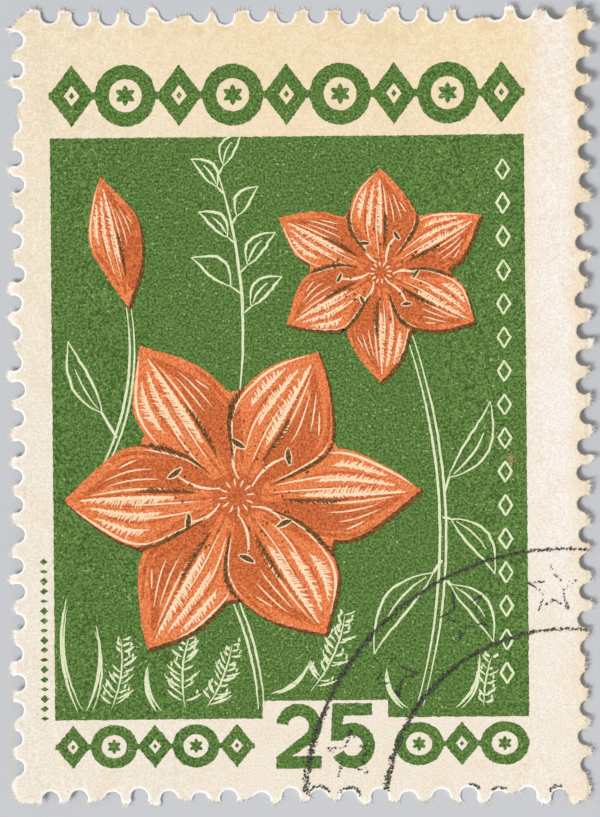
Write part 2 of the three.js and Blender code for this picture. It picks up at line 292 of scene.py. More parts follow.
class Finish:
    """A material under construction, whose patterns are laid out in millimetres on the stamp."""

    SHEEN = 0.2
    SEED_X, SEED_Y = 37, 53  # two seeds' patterns lie this far apart

    def __init__(self, name, roughness):
        self.material = bpy.data.materials.new(name)
        self.material.use_nodes = True
        self.nodes = self.material.node_tree.nodes
        self.links = self.material.node_tree.links
        self.shader = self.nodes["Principled BSDF"]
        self.shader.inputs["Roughness"].default_value = roughness
        self.shader.inputs["Specular IOR Level"].default_value = self.SHEEN
        self.place = self.nodes.new("ShaderNodeTexCoord").outputs["Object"]

    def link(self, source, node, socket):
        self.links.new(source, node.inputs[socket])

    def mapped(self, turn=0, stretch=(1, 1, 1), seed=0):
        """The stamp's coordinates in millimetres, turned, stretched and moved to a place of their own."""
        mapping = self.nodes.new("ShaderNodeMapping")
        mapping.inputs["Location"].default_value = (seed * self.SEED_X, seed * self.SEED_Y, 0)
        mapping.inputs["Rotation"].default_value = (0, 0, math.radians(turn))
        mapping.inputs["Scale"].default_value = [value / M_PER_MM for value in stretch]
        self.link(self.place, mapping, "Vector")
        return mapping.outputs["Vector"]

    def grain(self, per_mm, detail=2, turn=0, stretch=(1, 1, 1), seed=0):
        noise = self.nodes.new("ShaderNodeTexNoise")
        noise.inputs["Scale"].default_value = per_mm
        noise.inputs["Detail"].default_value = detail
        noise.inputs["Roughness"].default_value = 0.6
        self.link(self.mapped(turn, stretch, seed), noise, "Vector")
        return noise.outputs["Fac"]

    def between(self, value, low, high):
        """Turns a value into 0 below low and 1 above high."""
        spread = self.nodes.new("ShaderNodeMapRange")
        spread.interpolation_type = "SMOOTHSTEP"
        spread.inputs["From Min"].default_value = low
        spread.inputs["From Max"].default_value = high
        self.link(value, spread, "Value")
        return spread.outputs["Result"]

    def math(self, kind, first, second=None):
        node = self.nodes.new("ShaderNodeMath")
        node.operation = kind
        for socket, value in enumerate([first, second]):
            if isinstance(value, (int, float)):
                node.inputs[socket].default_value = value
            elif value is not None:
                self.link(value, node, socket)
        return node.outputs["Value"]

    def times(self, first, second):
        return self.math("MULTIPLY", first, second)

    def sway(self, reach, per_mm, detail=2):
        """A grain that swings to both sides of zero, with this reach from end to end."""
        return self.times(self.math("SUBTRACT", self.grain(per_mm, detail), 0.5), reach)

    def mix(self, share, first, second):
        node = self.nodes.new("ShaderNodeMix")
        node.data_type = "RGBA"
        sockets = {"Factor": share, "A": first, "B": second}
        for socket in node.inputs:
            value = sockets.get(socket.name)
            if not socket.enabled or value is None:
                continue
            if isinstance(value, (int, float, tuple)):
                socket.default_value = value
            else:
                self.links.new(value, socket)
        return next(out for out in node.outputs if out.enabled)

    def stain(self, base, cover, strength, colour):
        """Lays a colour over the base, at most this strong, where cover is above 0."""
        return self.mix(self.times(cover, strength), base, colour)

    def part_of(self, vector, name):
        parts = self.nodes.new("ShaderNodeSeparateXYZ")
        self.link(vector, parts, "Vector")
        return parts.outputs[name]

    def axis(self, name):
        """The place along one of the stamp's axes, in millimetres."""
        return self.part_of(self.mapped(), name)

    def facing(self, name):
        """How far a face is turned towards an axis, from -1 to 1."""
        return self.part_of(self.nodes.new("ShaderNodeNewGeometry").outputs["Normal"], name)

    def bump(self, height, depth_mm, strength=1.0):
        node = self.nodes.new("ShaderNodeBump")
        node.inputs["Strength"].default_value = strength
        node.inputs["Distance"].default_value = depth_mm * M_PER_MM
        self.link(height, node, "Height")
        self.links.new(node.outputs["Normal"], self.shader.inputs["Normal"])

    def colour(self, value):
        self.links.new(value, self.shader.inputs["Base Color"])


# Where the paper's tones set in and are full, in millimetres from the middle of the sheet. Past RIGHT_RIM
# the rims of the holes take painted shade in place of a painted highlight.
HEAD_TAN, LEFT_FADE, HANDLED, RIGHT_RIM = (-4, 21), (-2, -13), (12.7, 13.8), (12.4, 13)
STRIPE_LEFT, STRIPE_RIGHT, STRIPE_FOOT = (10.6, 12), (13.9, 12.7), (-25, 3)
SMUDGE_FOOT, SMUDGE_RIGHT, TORN_INSET = (16.6, 18.6), (12, 9), 0.05


def paper_finish():
    """Aged cream paper: tanned at the head, paler down its right side, white where it is cut or torn. Round
    the holes and on its cut edges it is painted whiter, partly a painted highlight, and down its right side
    dark brown there, a painted shade with some grime.
    """
    cream, pale, tan = srgb(251, 241, 225), srgb(255, 249, 243), srgb(254, 233, 190)
    core = srgb(255, 253, 250)
    finish = Finish("wove_paper", 0.85)
    x, y = finish.axis("X"), finish.axis("Y")
    head = finish.between(finish.math("ADD", y, finish.sway(9, 0.12, 3)), *HEAD_TAN)
    stray = finish.math("ADD", x, finish.sway(1.2, 0.5, 3))
    stripe = finish.times(finish.between(stray, *STRIPE_LEFT), finish.between(stray, *STRIPE_RIGHT))
    toned = finish.stain(cream, head, 0.9, tan)
    toned = finish.stain(toned, finish.between(x, *LEFT_FADE), 0.45, srgb(255, 249, 232))
    stripe = finish.times(stripe, finish.between(y, *STRIPE_FOOT))
    toned = finish.stain(toned, stripe, 0.92, pale)
    toned = finish.stain(toned, finish.between(stray, *HANDLED), 0.45, srgb(246, 224, 190))
    blotch = finish.between(finish.grain(0.75, 3, seed=2), 0.42, 0.7)
    toned = finish.stain(toned, blotch, 0.2, srgb(240, 212, 172))
    mottle = finish.times(finish.between(finish.grain(4, 3, seed=6), 0.38, 0.66), head)
    toned = finish.stain(toned, mottle, 0.3, srgb(226, 194, 140))
    smudge = finish.between(finish.grain(0.9, 3, seed=9), 0.48, 0.72)
    smudge = finish.times(smudge, finish.between(y, *SMUDGE_FOOT))
    smudge = finish.times(smudge, finish.between(x, *SMUDGE_RIGHT))
    toned = finish.stain(toned, smudge, 0.6, srgb(232, 200, 142))
    fine = finish.between(finish.grain(10, 3, seed=3), 0.34, 0.66)
    toned = finish.stain(toned, fine, 0.42, srgb(208, 190, 170))
    flecks = finish.between(finish.grain(9, 1, 20, (1, 0.35, 1)), 0.66, 0.8)
    toned = finish.stain(toned, flecks, 0.35, srgb(190, 160, 126))
    side = finish.math("SUBTRACT", 1, finish.math("ABSOLUTE", finish.facing("Z")))
    cut = finish.between(side, 0.05, 0.5)
    past_x = finish.math("SUBTRACT", finish.math("ABSOLUTE", x), SHEET_WIDTH / 2 - TORN_INSET)
    past_y = finish.math("SUBTRACT", finish.math("ABSOLUTE", y), SHEET_HEIGHT / 2 - TORN_INSET)
    frayed = finish.math("ADD", finish.math("MAXIMUM", past_x, past_y), finish.sway(0.25, 8))
    torn = finish.times(finish.between(frayed, 0.05, 0.3), 0.9)
    glow = finish.nodes.new("ShaderNodeAttribute")
    glow.attribute_name = "rim_glow"
    uneven = finish.math("ADD", glow.outputs["Fac"], finish.math("SUBTRACT", finish.grain(7), 0.5))
    right = finish.between(x, *RIGHT_RIM)
    # Pale round the holes and white on the cut and torn edges, except down the right side: partly the
    # paper's whiter core, partly a painted highlight on the sides the light falls on.
    white = finish.times(finish.between(uneven, 0.1, 0.8), 0.9)
    white = finish.math("MAXIMUM", white, finish.math("MAXIMUM", cut, torn))
    toned = finish.stain(toned, white, finish.between(x, *RIGHT_RIM[::-1]), core)
    # Down the right side the hole rims and cut edges are painted dark brown: painted shade where they face
    # away from the light, with some grime. The torn ends there keep less of their white.
    shade_and_grime = finish.times(finish.math("MAXIMUM", finish.between(uneven, 0.62, 1.15), cut), right)
    toned = finish.stain(toned, torn, finish.times(right, 0.4), core)
    toned = finish.stain(toned, shade_and_grime, 0.7, srgb(150, 116, 78))
    finish.colour(toned)
    fibre = finish.math("ADD", finish.grain(5, 2, 35, (1, 0.2, 1)), finish.grain(6, 2, -50, (1, 0.2, 1)))
    finish.bump(finish.math("ADD", fibre, finish.grain(2.2, 3)), depth_mm=0.012, strength=0.7)
    return finish.material


sheet_edge, sheet_holes, sheet_tears = sheet_outline()
w, h = SHEET_WIDTH / 2 - NECK, SHEET_HEIGHT / 2 - NECK
sheet_lines = [((side, -PAST_HEAD), (side, PAST_HEAD)) for side in (-w, w)]
sheet_lines += [((-PAST_SIDE, level), (PAST_SIDE, level)) for level in (-h, h)]
turns = np.linspace(0, math.tau, CIRCLE_POINTS)
for x, y, radius in sheet_holes:
    for wide in (radius + ROUNDING, radius + RIM_GLOW):
        circle = [(x + wide * math.cos(turn), y + wide * math.sin(turn)) for turn in turns]
        sheet_lines += pairwise(circle)
sheet = flat_piece("stamp_sheet", [sheet_edge], lines=sheet_lines)
thicken_and_curl(sheet, 0, PAPER, wear_the_edges)
spots = np.empty(len(sheet.data.vertices) * 3)
sheet.data.vertices.foreach_get("co", spots)
glow = np.clip(1 - rim_distance(spots.reshape(-1, 3) / M_PER_MM) / RIM_GLOW, 0, 1)
sheet.data.attributes.new("rim_glow", "FLOAT", "POINT").data.foreach_set("value", glow)
hand_over(sheet, paper_finish(), "paper_sheet")

# ---------------------------------------------------------------------------------------------------------
# Torn fibres. The tears leave short hairs of paper fibre standing out of the ends of the teeth, white and
# much finer than the sheet is thick.
HAIRS_PER_TOOTH, HAIR_STEPS = 28, 4
HAIR_RADIUS, HAIR_TAPER = 0.0105, 0.7
HAIR_REACH, HAIR_EXTRA, HAIR_ROOT = 0.07, 0.26, 0.03  # least reach, the most added to it, depth of the root
LOOSE_HAIRS, LOOSE_STEPS = 40, 12
LOOSE_REACH, LOOSE_ROOT, LOOSE_LIFT = 0.62, 0.12, 0.02
ANY_HEADING = 6.28
HAIR_LIMIT, HAIR_TOP = 0.57, 0.55  # how far hairs may stand past the lines of holes, and how high


def hair_paths(chance):
    """Each hair starts in a torn edge and curls outward. The loose ones are longer and lie over the rim."""
    for tear, outward in sheet_tears:
        for _ in range(HAIRS_PER_TOOTH):
            spot = Vector(tear[int(next(chance) * len(tear))]) - outward * HAIR_ROOT * next(chance)
            reach = HAIR_REACH + HAIR_EXTRA * next(chance) ** 2
            heading = math.atan2(outward.y, outward.x) + 1.3 * either_way(chance)
            curl = 3 * (next(chance) - 0.5)
            level = PAPER * (0.3 + 0.4 * next(chance))
            path = []
            for step in range(HAIR_STEPS + 1):
                path.append((*spot, level + 0.04 * (next(chance) - 0.3) * step / HAIR_STEPS))
                spot = spot + heading_of(heading) * reach / HAIR_STEPS
                heading += curl / HAIR_STEPS
            yield path
    for _ in range(LOOSE_HAIRS):
        tear, outward = sheet_tears[int(next(chance) * len(sheet_tears))]
        spot = Vector(tear[len(tear) // 2]) - outward * LOOSE_ROOT
        heading = ANY_HEADING * next(chance)
        curl = 5 * (next(chance) - 0.5)
        reach = LOOSE_REACH * (0.5 + next(chance))
        path = []
        for step in range(LOOSE_STEPS + 1):
            path.append((*spot, PAPER + LOOSE_LIFT + 0.03 * math.sin(0.4 * step)))
            heading += curl / LOOSE_STEPS + 0.5 * (next(chance) - 0.5)
            drift = heading_of(heading) * 0.8 + outward * 0.3
            spot = spot + drift * reach / LOOSE_STEPS
        yield path


def stands_too_far(path):
    """Whether a hair leaves the narrow rim that fibres may take up round the sheet."""
    past = [max(abs(x) - SHEET_WIDTH / 2, abs(y) - SHEET_HEIGHT / 2) for x, y, _ in path]
    return max(past) > HAIR_LIMIT


def fibre_finish():
    finish = Finish("paper_fibre", 0.8)
    shade = finish.between(finish.grain(3), 0.3, 0.7)
    finish.colour(finish.mix(shade, srgb(255, 251, 243), srgb(236, 224, 203)))
    return finish.material


curve = bpy.data.curves.new("torn_fibres", "CURVE")
curve.dimensions = "3D"
curve.bevel_depth = HAIR_RADIUS
curve.bevel_resolution = 0
curve.use_fill_caps = True
for path in hair_paths(draws(11)):
    if stands_too_far(path):
        continue
    spline = curve.splines.new("POLY")
    spline.points.add(len(path) - 1)
    for step, (point, spot) in enumerate(zip(spline.points, path)):
        x, y, z = spot
        point.co = (x, y, min(HAIR_TOP, z + curl_height(x, y)), 1)
        point.radius = 1 - HAIR_TAPER * step / (len(path) - 1)
new_piece("torn_fibres", curve)
bpy.ops.object.convert(target="MESH")
fibres = bpy.context.view_layer.objects.active
fibres.scale = (M_PER_MM, M_PER_MM, M_PER_MM)
bpy.ops.object.transform_apply(location=False, rotation=False, scale=True)
bpy.ops.object.shade_smooth_by_angle(angle=2 * SOFT_EDGE)
hand_over(fibres, fibre_finish())

# ---------------------------------------------------------------------------------------------------------
# The green printing: a panel, bands of ornament above and below it, the value and a row of tiny marks, all
# one pass of ink on the paper. The flowers are left bare in the panel, and so are fine lines that draw
# leaves, stems and grass. Each colour is a film of ink that follows the sheet.
INK, INK_GAP = 0.01, 0.002
PANEL_WIDTH, PANEL_HEIGHT, PANEL_MIDDLE, PANEL_FOOT = 23.0, 28.25, -0.55, -15.14
PRINT_TURN = math.radians(0.3)  # all the ink is turned a little against the holes
TABLET_X, TABLET_WIDTH, TABLET_HEIGHT = 1.6, 6.1, 0.85
RAG, RAG_STEP = 0.022, 0.09  # how far the edge of the ink strays, and how often
LINE_WOBBLE, LINE_RAG, LINE_RAG_STEP = 0.014, 0.008, 0.2  # how far a fine line wavers, and its edge strays
Flower = namedtuple("Flower", "name x y petal half petals turn squash")
FLOWERS = [
    Flower("large_bloom", -2.6, 10.8, 9, 2.36, 6, -3, 0.95),
    Flower("small_bloom", 4.5, 21.6, 5.7, 1.5, 6, 26, 0.95),
    Flower("bud", -7.7, 19.9, 6.6, 1.3, 1, 98, 1),
]
INNER_LENGTH, INNER_HALF = 0.93, 1.1  # every second petal lies behind, shorter and broader
BEND, VALLEY = 0.07, 0.54  # how far a petal bends, and how far out two petals meet
WAVE, WAVES, SWELL = 0.04, 13, 1.1  # how much and how often a rim waves, and how it fills towards the tip
STEM_STEPS, LEAF_STEPS = 24, 14
LEAF_TURNS, LEAF_SIZES = (62, 34), (1.15, 0.72)  # of the first and the last leaf on a leafy stem
LEAF_STALK, LEAF_BEND, LEAF_HALF = 0.28, -0.14, 0.19  # shares of a leaf's length
TWIG_PITCH, TWIGS_MISSING, TWIG_KNOTS = 0.3, 0.16, 0.5  # of a fern frond
BLADE_WIDTH, BLADE_STEPS = 0.28, 16
MARK_X, MARK_FIRST, MARK_PITCH, MARKS = 10.45, 2.1, 1.63, 16
MARK_HALF_WIDTH, MARK_HALF_HEIGHT = 0.31, 0.5

# Stems, each drawn by its two sides: its ends, how far it bows and how wide it is.
STEMS = [
    ((5.7, 19.0), (6.2, 0.5), 1.45, 0.3),
    ((-3.0, 6.4), (-1.5, 0.5), 0.3, 0.28),
    ((-7.75, 20.0), (-9.4, 11.5), 0.75, 0.24),
]
# The leafy stem: its ends, its bow, how many leaves, where the first one stands and how long they are.
LEAFY_STEM = ((-2.5, 15.2), (-3.5, 26.9), -0.7, 7, 0.36, 2.3)
# Single leaves on the plain stems: where the stalk starts, the leaf's two ends, its bow and half width.
SINGLE_LEAVES = [
    ((7.45, 10.8), (7.7, 11.6), (9.75, 15.3), -0.5, 0.55),
    ((7.4, 9.7), (7.8, 9.6), (9.9, 6.9), 0.45, 0.5),
    ((7.5, 6.7), (7.75, 6.4), (9.8, 3.6), 0.45, 0.5),
    ((7.35, 7.6), (6.9, 7.0), (4.0, 3.1), -0.55, 0.6),
    ((-8.4, 13.7), (-9.1, 14.9), (-10.7, 18.4), 0.3, 0.45),
]
# Fern fronds: the ends of the stalk, how far it bows and the length of its twigs.
FRONDS = [
    ((-5.2, 0.6), (-4.9, 4.2), 0.25, 0.9),
    ((-4.2, 0.5), (-2.9, 3.6), -0.2, 0.75),
    ((-8.8, 0.5), (-8.3, 3.9), -0.25, 0.85),
    ((0.9, 1.3), (2.6, 5.0), -0.3, 0.85),
    ((9.3, 0.5), (9.7, 2.9), 0.1, 0.6),
]
# Blades of grass: their ends and how far they bow.
BLADES = [
    ((-10.4, 0.4), (-10.9, 5.9), 0.5),
    ((-10.0, 0.4), (-9.5, 4.6), -0.4),
    ((-6.6, 0.4), (-7.0, 2.6), 0.25),
    ((7.9, 0.4), (9.1, 3.0), -0.4),
    ((5.4, 0.4), (4.6, 2.4), 0.3),
    ((-1.0, 1.2), (0.9, 2.7), -0.3),
]


def lerp(start, end, share):
    return start + (end - start) * share


def unit(degrees):
    return heading_of(math.radians(degrees))


def nudge(chance, reach):
    """A small step to any side."""
    return Vector((next(chance) - 0.5, next(chance) - 0.5)) * 2 * reach


def petal_place(flower, index, grow=0):
    """Turns t, from 0 to 1 along a petal, and s, from -1 to 1 across it, into a point of the drawing."""
    angle = flower.turn + 360 / flower.petals * index
    length = flower.petal * (INNER_LENGTH if index % 2 else 1) + grow
    half = flower.half * (INNER_HALF if index % 2 else 1) + grow

    def place(t, s):
        wave = 1 + WAVE * math.sin(WAVES * t + 2 * index + s)
        across = s * half * wave * math.sin(math.pi * min(t, 1) ** SWELL) + BEND * length * t**2
        spot = unit(angle) * length * t + unit(angle + 90) * across
        return Vector((flower.x + spot.x, flower.y + spot.y * flower.squash))

    return place


def silhouette(flower, grow=0, steps=24):
    """A flower's outline, petal by petal."""
    outline = []
    for index in range(flower.petals):
        place = petal_place(flower, index, grow)
        start = (VALLEY if flower.petals > 1 else 0) / (INNER_LENGTH if index % 2 else 1)
        rim = [lerp(start, 1, i / steps) for i in range(steps + 1)]
        outline += [place(t, -1) for t in rim]
        outline += [place(t, 1) for t in rim[-2::-1]]
    return outline if flower.petals > 1 else outline[:-1]


def rough(outline, chance, rag=RAG, step=RAG_STEP):
    """The same outline with the slight ragged edge of ink on paper."""
    points = []
    for start, end in zip(outline, outline[1:] + outline[:1]):
        start, end = Vector(start), Vector(end)
        count = max(1, round((end - start).length / step))
        for i in range(count):
            points.append(start.lerp(end, i / count) + nudge(chance, rag))
    return points


def stroke(path, width, blunt=0.0):
    """The outline of a stroke that tapers to both ends of its path, or keeps a blunt share of its width."""
    last = len(path) - 1
    rims = ([], [])
    for i, spot in enumerate(path):
        along = (path[min(i + 1, last)] - path[max(i - 1, 0)]).normalized()
        side = left_of(along)
        half = width / 2 * max(blunt, 0.04, math.sin(math.pi * i / last) ** 0.6)
        rims[0].append(spot - side * half)
        rims[1].append(spot + side * half)
    outline = rims[0] + rims[1][::-1]
    middle = len(path) // 2
    return outline[middle:] + outline[:middle]


def bowed(start, end, bow, steps=12):
    """A path from start to end that bows sideways."""
    start, end = Vector(start), Vector(end)
    side = left_of(end - start).normalized()
    path = []
    for i in range(steps + 1):
        path.append(start.lerp(end, i / steps) + side * 4 * bow * i / steps * (1 - i / steps))
    return path


def line(path, chance, width=0.13, blunt=0.45):
    """A thin line as a pen draws it, slightly uneven in its width and its way."""
    width *= 0.85 + 0.3 * next(chance)
    wobbly = [spot + nudge(chance, LINE_WOBBLE) for spot in path]
    return rough(stroke(wobbly, width, blunt), chance, LINE_RAG, LINE_RAG_STEP)


def leaf(base, tip, bow, half, chance, vein=True):
    """The lines that draw a leaf: its two rims and its vein."""
    spine = bowed(base, tip, bow, LEAF_STEPS)
    side = Vector((base[1] - tip[1], tip[0] - base[0])).normalized()
    for sign in (-1, 1):
        rim = []
        for i, spot in enumerate(spine):
            swell = half * math.sin(math.pi * (i / LEAF_STEPS) ** 0.85) * (1 + 0.12 * next(chance))
            rim.append(spot + side * sign * swell)
        yield line(rim, chance)
    if vein:
        yield line(spine[1:10], chance, 0.1)


def plain_stem(start, end, bow, width, chance):
    """A stem drawn by its two sides."""
    spine = bowed(start, end, bow, STEM_STEPS)
    across = left_of(spine[-1] - spine[0]).normalized()
    for sign in (-0.5, 0.5):
        offset = across * sign * width
        yield line([spot + offset for spot in spine], chance, 0.12)


def leafy_stem(start, end, bow, leaves, first, size, chance):
    """A thin stem with outlined leaves on alternate sides, smaller towards its end."""
    spine = bowed(start, end, bow, STEM_STEPS)
    yield line(spine, chance, 0.15)
    along = (spine[-1] - spine[0]).normalized()
    for i in range(leaves):
        sign = 1 if i % 2 else -1
        share = lerp(first, 0.96, i / (leaves - 1))
        spot = spine[round(share * STEM_STEPS)]
        turn = math.radians(sign * lerp(*LEAF_TURNS, share))
        x = along.x * math.cos(turn) - along.y * math.sin(turn)
        y = along.x * math.sin(turn) + along.y * math.cos(turn)
        heading = Vector((x, y))
        long = size * lerp(*LEAF_SIZES, share) * (0.9 + 0.2 * next(chance))
        base = spot + heading * LEAF_STALK * long
        yield line([spot, spot.lerp(base, 0.5), base], chance, 0.11)
        bend = sign * LEAF_BEND * long
        yield from leaf(base, base + heading * long, bend, LEAF_HALF * long, chance, i % 3 != 1)


def frond(start, end, bow, size, chance):
    """A fern frond: a thin stalk with short thick twigs that rise from both its sides."""
    spine = bowed(start, end, bow, STEM_STEPS)
    yield line(spine, chance, 0.09, 0.2)
    along = (spine[-1] - spine[0]).normalized()
    side = left_of(along)
    pairs = round((spine[-1] - spine[0]).length / TWIG_PITCH)
    for i in range(pairs):
        spot = spine[round(lerp(2, STEM_STEPS, i / (pairs - 1)))]
        for sign in (-1, 1):
            if next(chance) < TWIGS_MISSING:
                continue
            long = size * lerp(0.95, 0.4, i / pairs) * (0.45 + 0.75 * next(chance))
            root = spot + side * sign * 0.12 * next(chance)
            tip = root + (side * sign + along * (0.5 + 0.6 * next(chance))) * long
            twig = bowed(root, tip, 0.07 * sign * long, 6)
            yield rough(stroke(twig, 0.08 + 0.07 * next(chance), 0.2), chance, 0.022, 0.07)
            if next(chance) < TWIG_KNOTS:
                knot = root.lerp(tip, 0.7) + along * 0.06
                bud = [knot, knot + along * 0.12, knot + along * 0.24]
                yield rough(stroke(bud, 0.12, 0.3), chance, 0.02, 0.07)


def grass(start, end, bow, chance):
    """A blade of grass, drawn by its two edges."""
    yield line(bowed(start, end, bow, BLADE_STEPS), chance, 0.16, 0.1)
    foot, head = Vector(start) + Vector((BLADE_WIDTH, 0)), Vector(start).lerp(Vector(end), 0.93)
    yield line(bowed(foot, head, bow, BLADE_STEPS), chance, 0.1, 0.1)


def lozenge(x, y, a, b):
    return [(x - a, y), (x, y - b), (x + a, y), (x, y + b)]


def ellipse(x, y, a, b, steps=28):
    headings = [unit(360 * i / steps) for i in range(steps)]
    return [(x + a * heading.x, y + b * heading.y) for heading in headings]


def panel_outline():
    """The panel, with a notch at its foot for the value."""
    half, left, right = PANEL_WIDTH / 2, TABLET_X - TABLET_WIDTH / 2, TABLET_X + TABLET_WIDTH / 2
    foot = [(-half, 0), (left, 0), (left, TABLET_HEIGHT), (right, TABLET_HEIGHT), (right, 0), (half, 0)]
    return [*foot, (half, PANEL_HEIGHT), (-half, PANEL_HEIGHT)]


def drawn_lines(chance):
    """Everything that fine bare lines draw in the panel."""
    for stem in STEMS:
        yield from plain_stem(*stem, chance)
    for root, base, tip, bow, half in SINGLE_LEAVES:
        stalk = [Vector(root), Vector(root).lerp(Vector(base), 0.5), Vector(base)]
        yield line(stalk, chance, 0.13, 0.8)
        yield from leaf(base, tip, bow, half, chance)
    yield from leafy_stem(*LEAFY_STEM, chance)
    for stalk in FRONDS:
        yield from frond(*stalk, chance)
    for blade in BLADES:
        yield from grass(*blade, chance)


def lozenge_line(x, y, chance):
    """A small lozenge, drawn by a line on its left and one on its right."""
    middle = Vector((x, y))
    foot, head = middle - Vector((0, MARK_HALF_HEIGHT)), middle + Vector((0, MARK_HALF_HEIGHT))
    for side in (-1, 1):
        bend = middle + Vector((side * MARK_HALF_WIDTH, 0))
        rim = [foot.lerp(bend, k / 4) for k in range(4)] + [bend.lerp(head, k / 4) for k in range(5)]
        yield line(rim, chance, 0.13, 0.8)


def ink_finish(name, dark, light, bare, seed):
    """Printing ink with the plate's grain, from dark to light specks, and pinholes down to the paper."""
    darkest = tuple(0.45 * channel for channel in dark)
    finish = Finish(name, 0.75)
    tone = finish.mix(finish.between(finish.grain(9, 2, seed=seed), 0.32, 0.68), dark, light)
    cloud = finish.between(finish.grain(0.35, 3, seed=seed + 2), 0.3, 0.7)
    tone = finish.stain(tone, cloud, 0.12, dark)
    soot = finish.between(finish.grain(6.5, 1, seed=seed + 4), 0.63, 0.73)
    tone = finish.stain(tone, soot, 0.55, darkest)
    pinhole = finish.between(finish.grain(7, 1, seed=seed + 6), 0.655, 0.75)
    tone = finish.stain(tone, pinhole, 0.6, bare)
    finish.colour(tone)
    finish.bump(finish.grain(6, 2, seed=seed), depth_mm=0.006, strength=0.5)
    return finish.material


def on_sheet(outlines):
    """The drawing's outlines, moved and turned to their place on the sheet."""
    place = Vector((PANEL_MIDDLE, PANEL_FOOT))
    turn = Matrix.Rotation(PRINT_TURN, 2)
    return [[tuple(turn @ (Vector(spot) + place)) for spot in outline] for outline in outlines]


def printed(name, areas, gaps=(), layer=0, within=()):
    """A film of ink; each later layer lies on the ones before it."""
    piece = flat_piece(name, on_sheet(areas), on_sheet(gaps), within)
    thicken_and_curl(piece, PAPER + INK_GAP + layer * (INK + INK_GAP), INK)
    return piece


green_ink = ink_finish("green_ink", srgb(54, 86, 28), srgb(114, 150, 76), srgb(205, 212, 150), 1)
chance = draws(17)
flower_edges = {flower.name: rough(silhouette(flower), chance) for flower in FLOWERS}
flower_gaps = list(flower_edges.values())
fine_lines = list(drawn_lines(chance))
for i in range(MARKS):
    fine_lines += lozenge_line(MARK_X, MARK_FIRST + MARK_PITCH * i, chance)
panel = printed("panel_print", [rough(panel_outline(), chance)], flower_gaps + fine_lines)
hand_over(panel, green_ink, "green_panel")

# Ink creeps into the fine lines and leaves a pale greenish tint on their paper.
line_ink = ink_finish("line_tint", srgb(218, 225, 174), srgb(238, 241, 212), srgb(248, 245, 226), 8)
hand_over(printed("line_tint", fine_lines, flower_gaps), line_ink)

# ---------------------------------------------------------------------------------------------------------
# The bands of ornament: chains of lozenges and rings in the same green ink, which run together at a thin
# bar. Each ring holds a small rosette and each lozenge a smaller one.
BAR = 0.06  # half the bar's thickness, as a share of a band's height
HOLE_RAG, STONE_RAG = 0.015, 0.01
Band = namedtuple("Band", "node start end y height motifs")
BANDS = [
    Band("upper_border", -11.55, 11.55, 28.8, 3, "LRLRLRLRL"),
    Band("lower_border_left", -11.5, -1.85, -2.35, 2.1, "LRLRL"),
    Band("lower_border_right", 4.95, 11.5, -2.35, 2.1, "RLR"),
]
SHARES = {"L": 0.75, "R": 1}  # the width of a lozenge and of a ring
RING_HOLE, ROSETTE, ROSETTE_LEAF = 0.27, 0.17, 0.09  # shares of a band's height
LOZENGE_HOLE, LOZENGE_STONE = 0.17, 0.06


def band_shapes(band, steps=16):
    """The chain's outline, the holes of its motifs and what stands in those holes."""
    total = sum(SHARES[motif] for motif in band.motifs)
    middle, cursor, upper, holes, fillings = band.y + band.height / 2, band.start, [], [], []
    for motif in band.motifs:
        width = SHARES[motif] * (band.end - band.start) / total
        for i in range(steps):
            distance = abs(2 * i / steps - 1)
            swell = math.sqrt(1 - distance**2) if motif == "R" else 1 - distance
            upper.append((cursor + width * i / steps, band.height * max(BAR, swell / 2)))
        x = cursor + width / 2
        if motif == "R":
            holes.append(ellipse(x, middle, RING_HOLE * width, RING_HOLE * band.height))
            for k in range(6):
                tip = Vector((x, middle)) + unit(60 * k + 30) * ROSETTE * band.height
                fillings.append(stroke(bowed((x, middle), tip, 0, 6), ROSETTE_LEAF * band.height))
        else:
            holes.append(lozenge(x, middle, LOZENGE_HOLE * width, LOZENGE_HOLE * band.height))
            fillings.append(lozenge(x, middle, LOZENGE_STONE * width, LOZENGE_STONE * band.height))
        cursor += width
    upper.append((band.end, band.height * BAR))
    outline = [(x, middle - rise) for x, rise in upper] + [(x, middle + rise) for x, rise in upper[::-1]]
    return outline, holes, fillings


for band in BANDS:
    outline, holes, fillings = band_shapes(band)
    ragged_holes = [rough(hole, chance, HOLE_RAG) for hole in holes]
    chain = printed(band.node + "_print", [rough(outline, chance)], ragged_holes)
    hand_over(chain, green_ink, band.node)
    stones = printed(band.node + "_stones", [rough(each, chance, STONE_RAG) for each in fillings])
    hand_over(stones, green_ink)

# ---------------------------------------------------------------------------------------------------------
# The value, in bold figures that stand in a bare tablet cut into the foot of the panel, and a column of
# tiny marks up the left margin. The same green ink.
FIGURE_Y, FIGURE_HEIGHT, FIGURE_WIDTH, FIGURE_LINE, FIGURE_GAP = -2.45, 3.15, 2.2, 0.6, 0.4
TWO_BOW, FIVE_INSIDE, FIVE_OUTSIDE = (-38, 172), (150, -150), (-150, 115)  # in degrees
SIDE_MARK_X, SIDE_MARK_FOOT, SIDE_MARK_HEAD, SIDE_MARKS = -12.0, 0.1, 7.7, 17
SIDE_MARK_HALF, SIDE_MARK_RISES = 0.2, (0.1, 0.15, 0.2)  # half a mark's width, and half its height in turn


def arc(centre, radius, start, end, steps=22):
    """The points of an arc from one angle to another, in degrees."""
    return [Vector(centre) + unit(lerp(start, end, i / steps)) * radius for i in range(steps + 1)]


